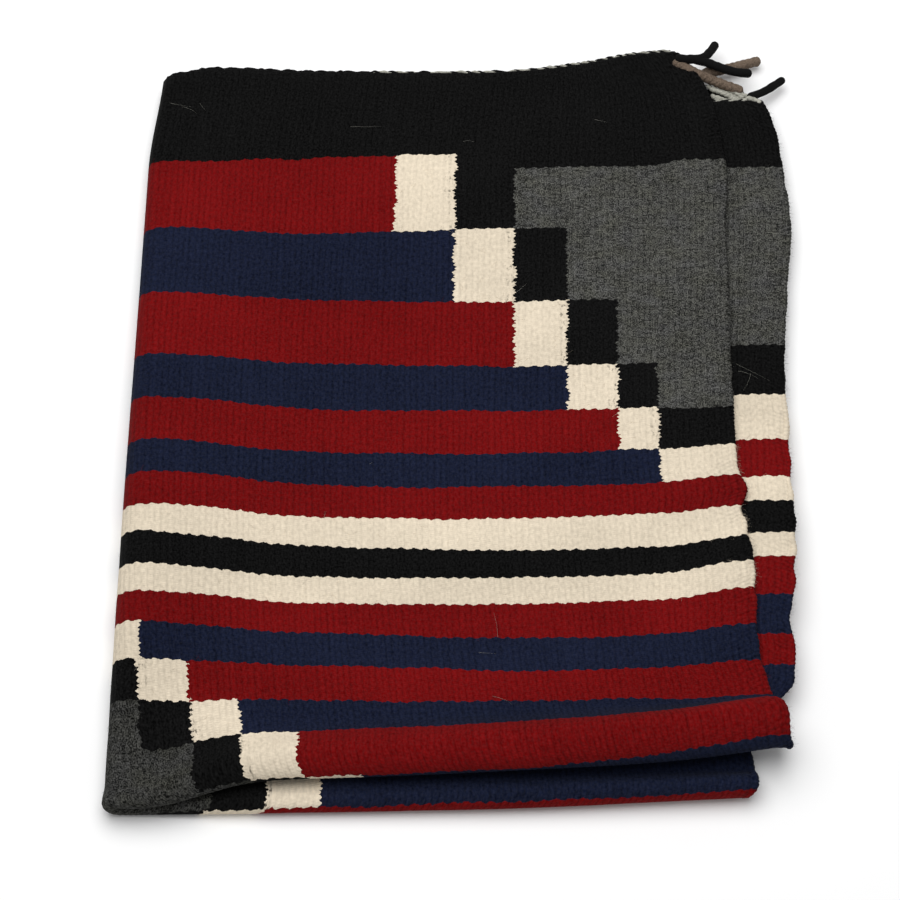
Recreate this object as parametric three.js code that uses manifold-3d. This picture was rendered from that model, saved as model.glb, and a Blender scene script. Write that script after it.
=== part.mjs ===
// Flat-woven wool rug folded in four, with corner tassels. Millimetres, +Z up.
// The cloth is folded across its length first, then across its width, so it lies in four layers:
// 1 (top) and 2 are the right half, 3 and 4 (on the surface) the left half turned under it.
import * as THREE from "three";
import { mergeVertices } from "three/addons/utils/BufferGeometryUtils.js";
import Module from "manifold-3d";

const wasm = await Module();
wasm.setup();

// Driving dimensions of the flat cloth
const THICK = 4; // weft-faced tapestry of handspun wool
const HALF_WIDTH = 382; // centre line to either selvedge
const LENGTH = { one: 497, two: 460 }; // middle row to each end
const PITCH = 5; // middle of one layer to the middle of the next
const TIGHT = 3; // radius of the length fold where it is pressed flat

// Where the folds lie, before the part is centred
const CENTRE_Y = -214; // a straight row at the length fold
const FOLD_AT = { upper: 6, lower: 13.7 }; // row that each half of the cloth is folded on
const APEX = { x: -196, lean: 0.009, inset: 6, insetFrom: 200, insetRun: 80 }; // width fold
const WIDTH_TURN = 22; // most cloth that half the width fold takes up
const LEG = HALF_WIDTH - WIDTH_TURN;
const LOWER_SLACK = { x: 8, run: 60 }; // cloth bunched under the width fold

// Length fold: hairpin radius gained towards the selvedges, and how many radii back it swells
const LOOP = { upper: 10.2, upperPower: 0.644, lower: 4.4 };
const REACH = { left: 3.4, right: 0.95, power: 1.57 };

// Sliding of the cloth across the width fold, by end, and the flare of the upper hairpin's end
const SLIDE = { start: 6, soften: 12, oneFar: -11, oneRun: 110, twoStep: 5, twoRun: 40, twoLean: 0.028 };
const FLARE = { out: 6, power: 6, oneFull: 32, twoRun: 25 };

// Rows out of straight: dropped at the folded corner, bowed midway, drawn back along the selvedge
const DROP = { y: 17.6, share: 0.11, run: 41 };
const BOW = { y: 5.7, at: 176, run: 223 };
const EDGE_BOW = { y: 2.3, from: 0.72, at: -101, along: 77 };

// Swellings: a ridge along the width fold, a lift along the selvedges, a droop of the upper end
const RIDGE = { z: 12, at: -60, run: 170, across: 95, cornerY: -225, cornerRun: 60 };
const LIFT = { z: 8.9, from: 0.86, run: 0.13, at: -93, along: 83 };
const DROOP = { z: 4, run: 45, across: 0.75 };

// Slight hollow of the underside, from its middle to its four corners, so that it rests without rocking
const HOLLOW = { z: 0.15, x: -3, y: 27, halfX: 184, halfY: 252 };

// Corners drawn in by their tied cords: x across, y outwards along, z up
const CORNER = { from: 0.55, run: 25 };
const CORNER_PULL = {
  upperOne: { x: 34, y: 13, z: 5 },
  upperTwo: { x: 20, y: 3, z: 0 },
  lower: { x: 3, y: 0, z: 0 },
};

// Waves of the right selvedge: place along the cloth, how far out, half width
const EDGE_WAVES = [
  { at: 415, out: 3, run: 25 },
  { at: 180, out: 4, run: 18 },
  { at: 135, out: 3.5, run: 28 },
  { at: -70, out: 1.5, run: 10 },
  { at: -90, out: -2, run: 12 },
  { at: -150, out: 2, run: 30 },
  { at: -270, out: -2, run: 40 },
  { at: -365, out: 3, run: 30 },
];
const EDGE_WAVE_POWER = 8;

// Steps of the mesh: across the turns, over the swollen stretch behind them, then out to the edges
const STEPS = { widthTurn: 10, widthLeg: 12, lengthTurn: 12, lengthSwell: 6, lengthLeg: 12 };
const EDGE_GATHER = 0.75; // below 1, steps close up towards selvedges and ends

const COLOURS = { cloth: 0x6e1214, black: 0x141414, brown: 0x7d6656 };

const clamp01 = (x) => Math.min(Math.max(x, 0), 1);
const ease = (x) => clamp01(x) ** 2 * (3 - 2 * clamp01(x));
const fall = (x) => 0.5 + 0.5 * Math.cos(Math.PI * clamp01(x));
const hump = (x) => Math.exp(-x * x);

// How far the cloth has slid across the width fold, b along the cloth from the length fold
function slide(b) {
  const s = Math.hypot(b, SLIDE.soften) - SLIDE.soften;
  if (b >= 0) {
    return SLIDE.oneFar + (SLIDE.start - SLIDE.oneFar) * Math.exp(-s / SLIDE.oneRun);
  }
  return SLIDE.start + SLIDE.twoStep * (1 - Math.exp(-s / SLIDE.twoRun)) + SLIDE.twoLean * s;
}

// Outward spread of the right selvedge at the upper hairpin and in its waves
function selvedge(a, b) {
  const s = Math.hypot(b, SLIDE.soften) - SLIDE.soften;
  const edge = clamp01(a / HALF_WIDTH);
  const flareShare = b >= 0 ? ease(2 - s / FLARE.oneFull) : ease(1 - s / FLARE.twoRun);
  const wave = EDGE_WAVES.reduce((sum, w) => sum + w.out * hump((b - w.at) / w.run), 0);
  return FLARE.out * edge ** FLARE.power * flareShare + wave * edge ** EDGE_WAVE_POWER;
}

// Hairpin at share u of a leg: its radius, how far back it swells, and the cloth that takes up
function hairpin(u, upper) {
  const r = TIGHT + (upper ? LOOP.upper * u ** LOOP.upperPower : LOOP.lower * u);
  const swell = r * (REACH.left + (REACH.right - REACH.left) * u ** REACH.power);
  const slope = (Math.PI * (2 * r - PITCH)) / (2 * swell);
  const extra = swell * (Math.sqrt(1 + slope ** 2 / 2) - 1);
  return { r, swell, extra, y: CENTRE_Y + (Math.PI / 2) * r + extra };
}

// Distance between the two layers of a pair, q behind the hairpin's centre line
const spread = ({ r, swell }, q) => PITCH + (2 * r - PITCH) * fall(q / swell);

// How far a row stands back from straight, at share leg of the upper layers, q behind the hairpin
function rowShift(leg, q) {
  const back = Math.max(q, 0);
  const drop = -DROP.y * hump(leg / DROP.share) * hump(back / DROP.run);
  const bow = -BOW.y * Math.sin(Math.PI * leg) * hump((back - BOW.at) / BOW.run);
  return drop + bow;
}

// Row that the cloth is folded on, p across from the width fold
const foldAt = (p) => FOLD_AT.upper + (FOLD_AT.lower - FOLD_AT.upper) * clamp01(-p / LEG);

// How far across a point lies from the width fold, before its corner is drawn in
const foldAcross = (a, b) => a + slide(b) + LOWER_SLACK.x * ease(-a / LOWER_SLACK.run);

// How much a point near a corner of the cloth is drawn in
function cornerPull(a, b) {
  const pull = a < 0 ? CORNER_PULL.lower : b > 0 ? CORNER_PULL.upperOne : CORNER_PULL.upperTwo;
  const side = ease((Math.abs(a) / HALF_WIDTH - CORNER.from) / (1 - CORNER.from));
  const toEnd = Math.max(b > 0 ? LENGTH.one - b : LENGTH.two + b, 0);
  const near = Math.exp(-toEnd / CORNER.run);
  return { x: pull.x * side ** 2 * near, y: pull.y * side * near, z: pull.z * side ** 2 * near };
}

// Middle surface of the folded cloth: a across from its centre line, b along from the length fold
function clothPoint(a, b) {
  const pull = cornerPull(a, b);
  const p = foldAcross(a, b) - Math.sign(a) * pull.x + selvedge(a, b);
  const upper = p > 0;
  const across = Math.abs(p);
  const u = clamp01((across - WIDTH_TURN) / LEG);

  // Hairpin of the length fold: q runs back from its centre line, share is 1 on end one, 0 on two
  const pin = hairpin(u, upper);
  const { r, swell, extra } = pin;
  const fromFold = b - foldAt(p);
  const bend = Math.min(Math.max(fromFold / r, -Math.PI / 2), Math.PI / 2);
  const past = Math.max(Math.abs(fromFold) - (Math.PI / 2) * r, 0);
  const q = past > 0 ? past - extra * ease(past / (swell + extra)) : -r * Math.cos(bend);
  const share = 0.5 + 0.5 * Math.sin(bend);
  const leg = upper ? u : 0;
  const straightY = pin.y + q + rowShift(leg, q) + pull.y;
  const edgeBow = ease((leg - EDGE_BOW.from) / (1 - EDGE_BOW.from));
  const y = straightY + EDGE_BOW.y * edgeBow * hump((straightY - EDGE_BOW.at) / EDGE_BOW.along);

  // Heights of the layers: the lower pair lies flat, the upper pair follows what is under it
  const pinLow = hairpin(u, false);
  const qLow = y - pinLow.y - rowShift(0, q);
  const lowerPair = spread(pinLow, upper ? qLow : q);
  const foldPair = spread(hairpin(0, upper), q);
  const cornerFlat = 1 - Math.exp(-Math.max(y - RIDGE.cornerY, 0) / RIDGE.cornerRun);
  const ridge = RIDGE.z * hump((y - RIDGE.at) / RIDGE.run) * cornerFlat;
  const rise = ridge * fall((across - WIDTH_TURN) / RIDGE.across);
  const lift = LIFT.z * ease((u - LIFT.from) / LIFT.run) * hump((y - LIFT.at) / LIFT.along);
  const droop = DROOP.z * ease((b - LENGTH.one) / DROOP.run + 1) * ease(u / (1 - DROOP.across));

  // Width fold: a half turn of the packet round the left edge
  const rho = (PITCH + ridge) / 2 + foldPair * share;
  const widthTurn = (Math.PI / 2) * rho;
  const angle = p / rho;
  const inTurn = across < widthTurn;
  const x = inTurn ? -rho * Math.cos(angle) : across - widthTurn;
  let z = THICK / 2 + foldPair * (1 - share) + rho + rho * Math.sin(angle);
  if (!inTurn && upper) {
    z = THICK / 2 + lowerPair + PITCH + rise + lift + spread(pin, q) * share - droop + pull.z;
  }
  if (!inTurn && !upper) {
    z = THICK / 2 + lowerPair * (1 - share);
  }
  const inset = APEX.inset * ease((y - APEX.insetFrom) / APEX.insetRun);
  const apexX = APEX.x + APEX.lean * (y - CENTRE_Y) + inset;
  return new THREE.Vector3(apexX + 1.5 * PITCH + ridge / 2 + x, y, z);
}

// A face of the cloth, half its thickness off the middle surface
function clothFace(a, b, side) {
  const step = 0.05;
  const alongA = clothPoint(a + step, b).sub(clothPoint(a - step, b));
  const alongB = clothPoint(a, b + step).sub(clothPoint(a, b - step));
  const normal = alongA.cross(alongB).normalize();
  return clothPoint(a, b).addScaledVector(normal, (side * THICK) / 2);
}

// Column k of the mesh as the cloth's a at row place b: even in the turn, closing up to the selvedge
function columnA(k, b) {
  const { widthTurn, widthLeg } = STEPS;
  const fromMiddle = k - widthLeg - widthTurn / 2;
  const half = widthTurn / 2;
  const turnShare = Math.min(Math.abs(fromMiddle), half) / half;
  const side = Math.sign(fromMiddle);
  const start = side * WIDTH_TURN * turnShare - slide(b);
  const legShare = Math.max(Math.abs(fromMiddle) - half, 0) / widthLeg;
  return start + (side * HALF_WIDTH - start) * legShare ** EDGE_GATHER;
}

// Row j of the mesh as the cloth's b, on a column p across from the width fold
function rowB(j, p) {
  const { lengthTurn, lengthSwell, lengthLeg } = STEPS;
  const { r, swell, extra } = hairpin(clamp01((Math.abs(p) - WIDTH_TURN) / LEG), p > 0);
  const fromFold = j - lengthLeg - lengthSwell - lengthTurn / 2;
  const side = Math.sign(fromFold);
  const count = Math.abs(fromFold);
  const half = lengthTurn / 2;
  const turn = (Math.PI / 2) * r;
  if (count <= half) {
    return foldAt(p) + (side * turn * count) / half;
  }
  if (count <= half + lengthSwell) {
    return foldAt(p) + side * (turn + ((swell + extra) * (count - half)) / lengthSwell);
  }
  const legShare = (count - half - lengthSwell) / lengthLeg;
  const start = foldAt(p) + side * (turn + swell + extra);
  const end = side > 0 ? LENGTH.one : -LENGTH.two;
  return start + (end - start) * legShare ** EDGE_GATHER;
}

function hollowAt({ x, y, z }) {
  const acrossShare = clamp01(Math.abs(x - HOLLOW.x) / HOLLOW.halfX);
  const alongShare = clamp01(Math.abs(y - HOLLOW.y) / HOLLOW.halfY);
  return HOLLOW.z * (2 - acrossShare ** 2 - alongShare ** 2) * fall(z / THICK);
}

function clothGeometry() {
  const columns = STEPS.widthTurn + 2 * STEPS.widthLeg;
  const rows = STEPS.lengthTurn + 2 * (STEPS.lengthSwell + STEPS.lengthLeg);
  const slab = new THREE.BoxGeometry(1, 1, 1, columns, rows, 1);
  slab.deleteAttribute("normal");
  slab.deleteAttribute("uv");
  const places = slab.attributes.position;
  for (let i = 0; i < places.count; i += 1) {
    const k = Math.round((places.getX(i) + 0.5) * columns);
    const j = Math.round((places.getY(i) + 0.5) * rows);
    const b = rowB(j, foldAcross(columnA(k, 0), 0));
    const place = clothFace(columnA(k, b), b, 2 * places.getZ(i));
    places.setXYZ(i, place.x, place.y, place.z + hollowAt(place));
  }
  return mergeVertices(slab, 1e-4);
}

// A tail of cord: a square section carried along a smooth curve
function tailGeometry(route, radius) {
  const sides = 4;
  const section = new THREE.Shape();
  for (let i = 0; i < sides; i += 1) {
    const angle = (2 * Math.PI * i) / sides;
    section.lineTo(radius * Math.cos(angle), radius * Math.sin(angle));
  }
  const curve = new THREE.CatmullRomCurve3(route.map((place) => new THREE.Vector3(...place)));
  return new THREE.ExtrudeGeometry(section, { steps: 9, extrudePath: curve, bevelEnabled: false });
}

function solidOf(geometry) {
  geometry.deleteAttribute("normal");
  geometry.deleteAttribute("uv");
  const merged = mergeVertices(geometry, 1e-4);
  return new wasm.Manifold(
    new wasm.Mesh({
      numProp: 3,
      vertProperties: new Float32Array(merged.attributes.position.array),
      triVerts: new Uint32Array(merged.index.array),
    }),
  );
}

// A tassel: its knot, with the tails fused to it
function tasselGeometry({ knot, knotRadius, tailRadius, tails }) {
  const ball = new THREE.SphereGeometry(knotRadius, 8, 6).translate(...knot);
  const solid = tails.reduce(
    (whole, route) => whole.add(solidOf(tailGeometry([knot, ...route], tailRadius))),
    solidOf(ball),
  );
  const mesh = solid.getMesh();
  const geometry = new THREE.BufferGeometry();
  geometry.setAttribute("position", new THREE.BufferAttribute(mesh.vertProperties, 3));
  geometry.setIndex(new THREE.BufferAttribute(mesh.triVerts, 1));
  return geometry;
}

// Corner tassels: the knot beside the drawn-in corner, and the places each tail passes
const TASSELS = {
  tassel_black_upper: {
    knot: [152.8, 288, 20],
    knotRadius: 4,
    tailRadius: 2.9,
    tails: [
      [[160, 288, 19], [168, 292, 16], [175, 300, 12]],
      [[163, 284, 18], [174, 280, 15.5], [187, 276.5, 14.5], [198, 276, 12]],
    ],
    colour: COLOURS.black,
  },
  tassel_brown_upper: {
    knot: [158.5, 277.5, 16],
    knotRadius: 3.6,
    tailRadius: 3,
    tails: [
      [[166, 273, 13], [177, 269, 11], [190, 266, 9]],
      [[167, 277, 10], [183, 283, 8], [204, 290, 7]],
    ],
    colour: COLOURS.brown,
  },
  tassel_black_lower: {
    knot: [197, 258.8, 11],
    knotRadius: 3.5,
    tailRadius: 2.7,
    tails: [[[206, 263.5, 10.5], [219, 274, 8]]],
    colour: COLOURS.black,
  },
};

function woolMesh(name, geometry, colour) {
  const wool = new THREE.MeshStandardMaterial({ color: colour, roughness: 0.95, metalness: 0 });
  const mesh = new THREE.Mesh(geometry, wool);
  mesh.name = name;
  return mesh;
}

const rug = new THREE.Group();
rug.add(woolMesh("rug_cloth", clothGeometry(), COLOURS.cloth));
for (const [name, tassel] of Object.entries(TASSELS)) {
  rug.add(woolMesh(name, tasselGeometry(tassel), tassel.colour));
}

// The origin is the middle of the part's underside
const box = new THREE.Box3().setFromObject(rug);
rug.position.set(-(box.min.x + box.max.x) / 2, -(box.min.y + box.max.y) / 2, -box.min.z);

export default rug;
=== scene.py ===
"""Looks of a flat-woven wool rug folded in four: weave, selvedges, end cords, tassels and lint."""
import math

import bpy
import numpy as np
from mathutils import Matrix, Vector


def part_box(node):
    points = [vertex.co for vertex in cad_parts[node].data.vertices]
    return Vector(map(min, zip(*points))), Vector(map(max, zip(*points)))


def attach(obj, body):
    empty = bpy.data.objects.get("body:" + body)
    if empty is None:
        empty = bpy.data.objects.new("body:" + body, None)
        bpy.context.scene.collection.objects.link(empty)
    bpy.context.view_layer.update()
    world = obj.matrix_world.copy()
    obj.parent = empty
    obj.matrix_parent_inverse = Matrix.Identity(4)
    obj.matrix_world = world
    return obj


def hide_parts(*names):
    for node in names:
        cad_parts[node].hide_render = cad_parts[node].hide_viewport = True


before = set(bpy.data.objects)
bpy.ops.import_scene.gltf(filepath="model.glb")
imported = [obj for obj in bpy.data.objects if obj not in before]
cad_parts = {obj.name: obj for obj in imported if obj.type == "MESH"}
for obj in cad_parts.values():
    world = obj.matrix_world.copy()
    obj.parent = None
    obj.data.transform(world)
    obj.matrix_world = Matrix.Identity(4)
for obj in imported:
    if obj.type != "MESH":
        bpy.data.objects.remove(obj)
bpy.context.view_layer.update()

MM = 0.001

# Flat cloth, in millimetres: a runs across from the centre line, b along from the length fold
THICK = 4.0
HALF_WIDTH = 382.0
LENGTH_ONE = 497.0
LENGTH_TWO = 460.0
WARPS = 206
WARP_PITCH = 2 * HALF_WIDTH / WARPS
PICK_PITCH = 1.35

# Folding, as the solids have it
PITCH = 5.0
TIGHT = 3.0
CENTRE_Y = -214.0
FOLD_AT = {"upper": 6.0, "lower": 13.7}
APEX = {"x": -196.0, "lean": 0.009, "inset": 6.0, "inset_from": 200.0, "inset_run": 80.0}
WIDTH_TURN = 22.0
LEG = HALF_WIDTH - WIDTH_TURN
LOWER_SLACK = {"x": 8.0, "run": 60.0}
LOOP = {"upper": 10.2, "upper_power": 0.644, "lower": 4.4}
REACH = {"left": 3.4, "right": 0.95, "power": 1.57}
SLIDE = {"start": 6.0, "soften": 12.0, "one_far": -11.0, "one_run": 110.0,
         "two_step": 5.0, "two_run": 40.0, "two_lean": 0.028}
FLARE = {"out": 6.0, "power": 6, "one_full": 32.0, "two_run": 25.0}
DROP = {"y": 17.6, "share": 0.11, "run": 41.0}
BOW = {"y": 5.7, "at": 176.0, "run": 223.0}
EDGE_BOW = {"y": 2.3, "from": 0.72, "at": -101.0, "along": 77.0}
RIDGE = {"z": 12.0, "at": -60.0, "run": 170.0, "across": 95.0, "corner_y": -225.0, "corner_run": 60.0}
LIFT = {"z": 8.9, "from": 0.86, "run": 0.13, "at": -93.0, "along": 83.0}
DROOP = {"z": 4.0, "run": 45.0, "across": 0.75}
CORNER = {"from": 0.55, "run": 25.0}
CORNER_PULL = {"upper_one": (34.0, 13.0, 5.0), "upper_two": (20.0, 3.0, 0.0), "lower": (3.0, 0.0, 0.0)}

# Small forms that the solids leave out: fronts of the hairpins, and ends rounded off at the width fold
FRONT = {"upper": 3.2, "upper_run": 0.12, "upper_right": 2.0, "lower_right": -1.8,
         "from": 0.55, "run": 0.35}
END_ROUND = {"y": 6.5, "across": 42.0, "run": 30.0}

# Waves of the right selvedge: place along the cloth, how far out, half width
EDGE_WAVES = ((415, 3, 25), (187, 5, 10), (171, -1.5, 5), (135, 3.5, 28), (164, 1.5, 6), (145, 1, 6),
              (127, 1, 6), (108, 1.5, 7), (87, 1, 7), (66, 1.5, 7), (-114, 1.5, 7), (-134, 1.5, 5),
              (-154, 1.5, 6), (-175, 1, 6), (-196, 1.5, 7), (-225, 1, 8), (-50, 1, 6), (-70, 1.5, 10),
              (-90, -2, 12), (-150, 2, 30), (-270, -2, 40), (-365, 3, 30), (24, 3, 9), (36, -10, 6.5),
              (-36, -8, 10), (-18, -7, 20))
EDGE_WAVE_POWER = 8

# Photograph's view in millimetres and degrees, and the studio's light in metres and watts
VIEW = {"elevation": 63.0, "distance": 1642.0, "aim": (0.0, 0.0, 10.0), "lens": 107.7, "sensor": 36.0}
OVERHEAD = {"place": (-0.1, 0.26, 1.5), "size": 1.8, "power": 25.0}
SKY = 0.36
FLOOR = {"half": 6.0, "white": 0.97}


# The folded cloth

def clamp01(x):
    return np.clip(x, 0.0, 1.0)


def ease(x):
    x = clamp01(x)
    return x * x * (3.0 - 2.0 * x)


def fall(x):
    return 0.5 + 0.5 * np.cos(np.pi * clamp01(x))


def hump(x):
    return np.exp(-x * x)


def slide(b):
    """How far the cloth has slid across the width fold: one decaying run for each end."""
    s = np.hypot(b, SLIDE["soften"]) - SLIDE["soften"]
    one = SLIDE["one_far"] + (SLIDE["start"] - SLIDE["one_far"]) * np.exp(-s / SLIDE["one_run"])
    two = SLIDE["start"] + SLIDE["two_step"] * (1.0 - np.exp(-s / SLIDE["two_run"]))
    return np.where(b >= 0, one, two + SLIDE["two_lean"] * s)


def selvedge_out(a, b):
    """Outward spread of the right selvedge: a flare at the upper hairpin, plus humps along the edge."""
    s = np.hypot(b, SLIDE["soften"]) - SLIDE["soften"]
    edge = clamp01(a / HALF_WIDTH)
    flare = np.where(b >= 0, ease(2.0 - s / FLARE["one_full"]), ease(1.0 - s / FLARE["two_run"]))
    wave = sum(out * hump((b - at) / run) for at, out, run in EDGE_WAVES)
    return FLARE["out"] * edge ** FLARE["power"] * flare + wave * edge ** EDGE_WAVE_POWER


def hairpin(u, upper):
    """Hairpin at share u of a leg: its radius, how far back it swells, the cloth that takes up, its y."""
    r = TIGHT + np.where(upper, LOOP["upper"] * u ** LOOP["upper_power"], LOOP["lower"] * u)
    swell = r * (REACH["left"] + (REACH["right"] - REACH["left"]) * u ** REACH["power"])
    slope = np.pi * (2.0 * r - PITCH) / (2.0 * swell)
    extra = swell * (np.sqrt(1.0 + slope ** 2 / 2.0) - 1.0)
    return r, swell, extra, CENTRE_Y + np.pi / 2 * r + extra


def front(u, upper):
    """How far a hairpin reaches out beyond a half round, at share u of a leg."""
    right = ease((u - FRONT["from"]) / FRONT["run"])
    upper_front = FRONT["upper"] * ease(u / FRONT["upper_run"]) + FRONT["upper_right"] * right
    return np.where(upper, upper_front, FRONT["lower_right"] * right)


def spread(r, swell, q):
    """Distance between the two layers of a pair, q behind the hairpin's centre line."""
    return PITCH + (2.0 * r - PITCH) * fall(q / swell)


def row_shift(leg, q):
    """How far a row stands back from straight: dropped at the folded corner, bowed midway."""
    back = np.maximum(q, 0.0)
    drop = -DROP["y"] * hump(leg / DROP["share"]) * hump(back / DROP["run"])
    bow = -BOW["y"] * np.sin(np.pi * leg) * hump((back - BOW["at"]) / BOW["run"])
    return drop + bow


def fold_at(p):
    """Row that the cloth is folded on, p across from the width fold."""
    return FOLD_AT["upper"] + (FOLD_AT["lower"] - FOLD_AT["upper"]) * clamp01(-p / LEG)


def corner_pull(a, b):
    """How much a point near a corner is drawn in by the tied cords, as x across, y along and z up."""
    upper_end = np.where(b[..., None] > 0, CORNER_PULL["upper_one"], CORNER_PULL["upper_two"])
    pull = np.where(a[..., None] < 0, CORNER_PULL["lower"], upper_end)
    side = ease((np.abs(a) / HALF_WIDTH - CORNER["from"]) / (1.0 - CORNER["from"]))
    to_end = np.maximum(np.where(b > 0, LENGTH_ONE - b, LENGTH_TWO + b), 0.0)
    near = np.exp(-to_end / CORNER["run"])
    return pull * np.stack([side ** 2 * near, side * near, side ** 2 * near], axis=-1)


def cloth_middle(a, b):
    """Middle surface of the cloth: the packet of two hairpins, turned half round along its left edge.

    Along b the cloth goes round a hairpin of radius r and swells behind it; across a it goes round a
    half turn of radius rho at the left edge, then lies flat over what is under it.
    """
    a, b = np.broadcast_arrays(np.asarray(a, float), np.asarray(b, float))
    pull = corner_pull(a, b)
    p = a + slide(b) + LOWER_SLACK["x"] * ease(-a / LOWER_SLACK["run"])
    p = p - np.sign(a) * pull[..., 0] + selvedge_out(a, b)
    upper = p > 0
    across = np.abs(p)
    u = clamp01((across - WIDTH_TURN) / LEG)

    r, swell, extra, pin_y = hairpin(u, upper)
    from_fold = b - fold_at(p)
    bend = np.clip(from_fold / r, -np.pi / 2, np.pi / 2)
    past = np.maximum(np.abs(from_fold) - np.pi / 2 * r, 0.0)
    behind = past - extra * ease(past / (swell + extra))
    q = np.where(past > 0, behind, -(r + front(u, upper)) * np.cos(bend))
    share = 0.5 + 0.5 * np.sin(bend)
    leg = np.where(upper, u, 0.0)
    to_end = np.maximum(np.where(b > 0, LENGTH_ONE - b, LENGTH_TWO + b), 0.0)
    rounded = END_ROUND["y"] * fall(across / END_ROUND["across"]) * np.exp(-to_end / END_ROUND["run"])
    straight_y = pin_y + q + row_shift(leg, q) + pull[..., 1] - rounded
    edge_bow = ease((leg - EDGE_BOW["from"]) / (1.0 - EDGE_BOW["from"]))
    y = straight_y + EDGE_BOW["y"] * edge_bow * hump((straight_y - EDGE_BOW["at"]) / EDGE_BOW["along"])

    r_low, swell_low, _, low_y = hairpin(u, False)
    q_low = y - low_y - row_shift(0.0, q)
    lower_pair = spread(r_low, swell_low, np.where(upper, q_low, q))
    r_fold, swell_fold, _, _ = hairpin(np.zeros_like(u), upper)
    fold_pair = spread(r_fold, swell_fold, q)
    corner_flat = 1.0 - np.exp(-np.maximum(y - RIDGE["corner_y"], 0.0) / RIDGE["corner_run"])
    ridge = RIDGE["z"] * hump((y - RIDGE["at"]) / RIDGE["run"]) * corner_flat
    rise = ridge * fall((across - WIDTH_TURN) / RIDGE["across"])
    lift = LIFT["z"] * ease((u - LIFT["from"]) / LIFT["run"]) * hump((y - LIFT["at"]) / LIFT["along"])
    droop = DROOP["z"] * ease((b - LENGTH_ONE) / DROOP["run"] + 1.0) * ease(u / (1.0 - DROOP["across"]))

    rho = (PITCH + ridge) / 2 + fold_pair * share
    width_turn = np.pi / 2 * rho
    in_turn = across < width_turn
    angle = p / rho
    x = np.where(in_turn, -rho * np.cos(angle), across - width_turn)
    z_turn = THICK / 2 + fold_pair * (1.0 - share) + rho + rho * np.sin(angle)
    z_upper = THICK / 2 + lower_pair + PITCH + rise + lift
    z_upper = z_upper + spread(r, swell, q) * share - droop + pull[..., 2]
    z_lower = THICK / 2 + lower_pair * (1.0 - share)
    z = np.where(in_turn, z_turn, np.where(upper, z_upper, z_lower))
    inset = APEX["inset"] * ease((y - APEX["inset_from"]) / APEX["inset_run"])
    apex_x = APEX["x"] + APEX["lean"] * (y - CENTRE_Y) + inset
    return np.stack([apex_x + 1.5 * PITCH + ridge / 2 + x, y, z], axis=-1)


def unit(v):
    return v / np.maximum(np.linalg.norm(v, axis=-1, keepdims=True), 1e-12)


def cloth_axes(a, b):
    """Unit tangents of the middle surface along a and along b, and its unit normal."""
    step = 0.05
    along_a = unit(cloth_middle(a + step, b) - cloth_middle(a - step, b))
    along_b = unit(cloth_middle(a, b + step) - cloth_middle(a, b - step))
    return along_a, along_b, unit(np.cross(along_a, along_b))


def cloth_place(a, b, off):
    """Points off the middle surface along its normal, in metres, in the frame of the solids."""
    a, b, off = np.broadcast_arrays(np.asarray(a, float), np.asarray(b, float), np.asarray(off, float))
    place = cloth_middle(a, b) + cloth_axes(a, b)[2] * off[..., None]
    return place * MM + ORIGIN


def frame_origin():
    """Where the fold's own origin lies in the frame of the solids: low corner against low corner."""
    a = np.linspace(-HALF_WIDTH, HALF_WIDTH, 161)[None, :]
    b = np.linspace(-LENGTH_TWO, LENGTH_ONE, 241)[:, None]
    half = cloth_axes(a, b)[2] * THICK / 2
    faces = [cloth_middle(a, b) + half * side for side in (-1.0, 1.0)]
    low = np.min([face.reshape(-1, 3).min(axis=0) for face in faces], axis=0)
    return np.array(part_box("rug_cloth")[0]) - low * MM


ORIGIN = frame_origin()


# Meshes from arrays

def grid_quads(rows, columns):
    """Corner numbers of the quads of a grid of points, row by row."""
    corner = np.arange(rows * columns).reshape(rows, columns)
    around = [corner[:-1, :-1], corner[:-1, 1:], corner[1:, 1:], corner[1:, :-1]]
    return np.stack(around, axis=-1).reshape(-1, 4)


def ring_quads(rings, sides):
    """Corner numbers of the quads between rings of points that close on themselves."""
    corner = np.arange(rings * sides).reshape(rings, sides)
    turned = np.roll(corner, -1, axis=1)
    return np.stack([corner[:-1], turned[:-1], turned[1:], corner[1:]], axis=-1).reshape(-1, 4)


def piece(name, points, quads, cloth_uv=None):
    """A smooth mesh object of quads, its points kept above the floor, its UV map in cloth millimetres."""
    mesh = bpy.data.meshes.new(name)
    points[:, 2] = np.maximum(points[:, 2], 0.0)
    mesh.from_pydata(points.tolist(), [], quads.tolist())
    mesh.polygons.foreach_set("use_smooth", np.ones(len(mesh.polygons), bool))
    if cloth_uv is not None:
        layer = mesh.uv_layers.new(name="cloth_mm")
        corner = np.empty(len(mesh.loops), np.int32)
        mesh.loops.foreach_get("vertex_index", corner)
        layer.data.foreach_set("uv", cloth_uv[corner].astype(np.float32).ravel())
    mesh.update()
    thing = bpy.data.objects.new(name, mesh)
    bpy.context.scene.collection.objects.link(thing)
    return thing


def finish_piece(thing, material):
    thing.data.materials.append(material)
    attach(thing, "root")
    return thing


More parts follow.
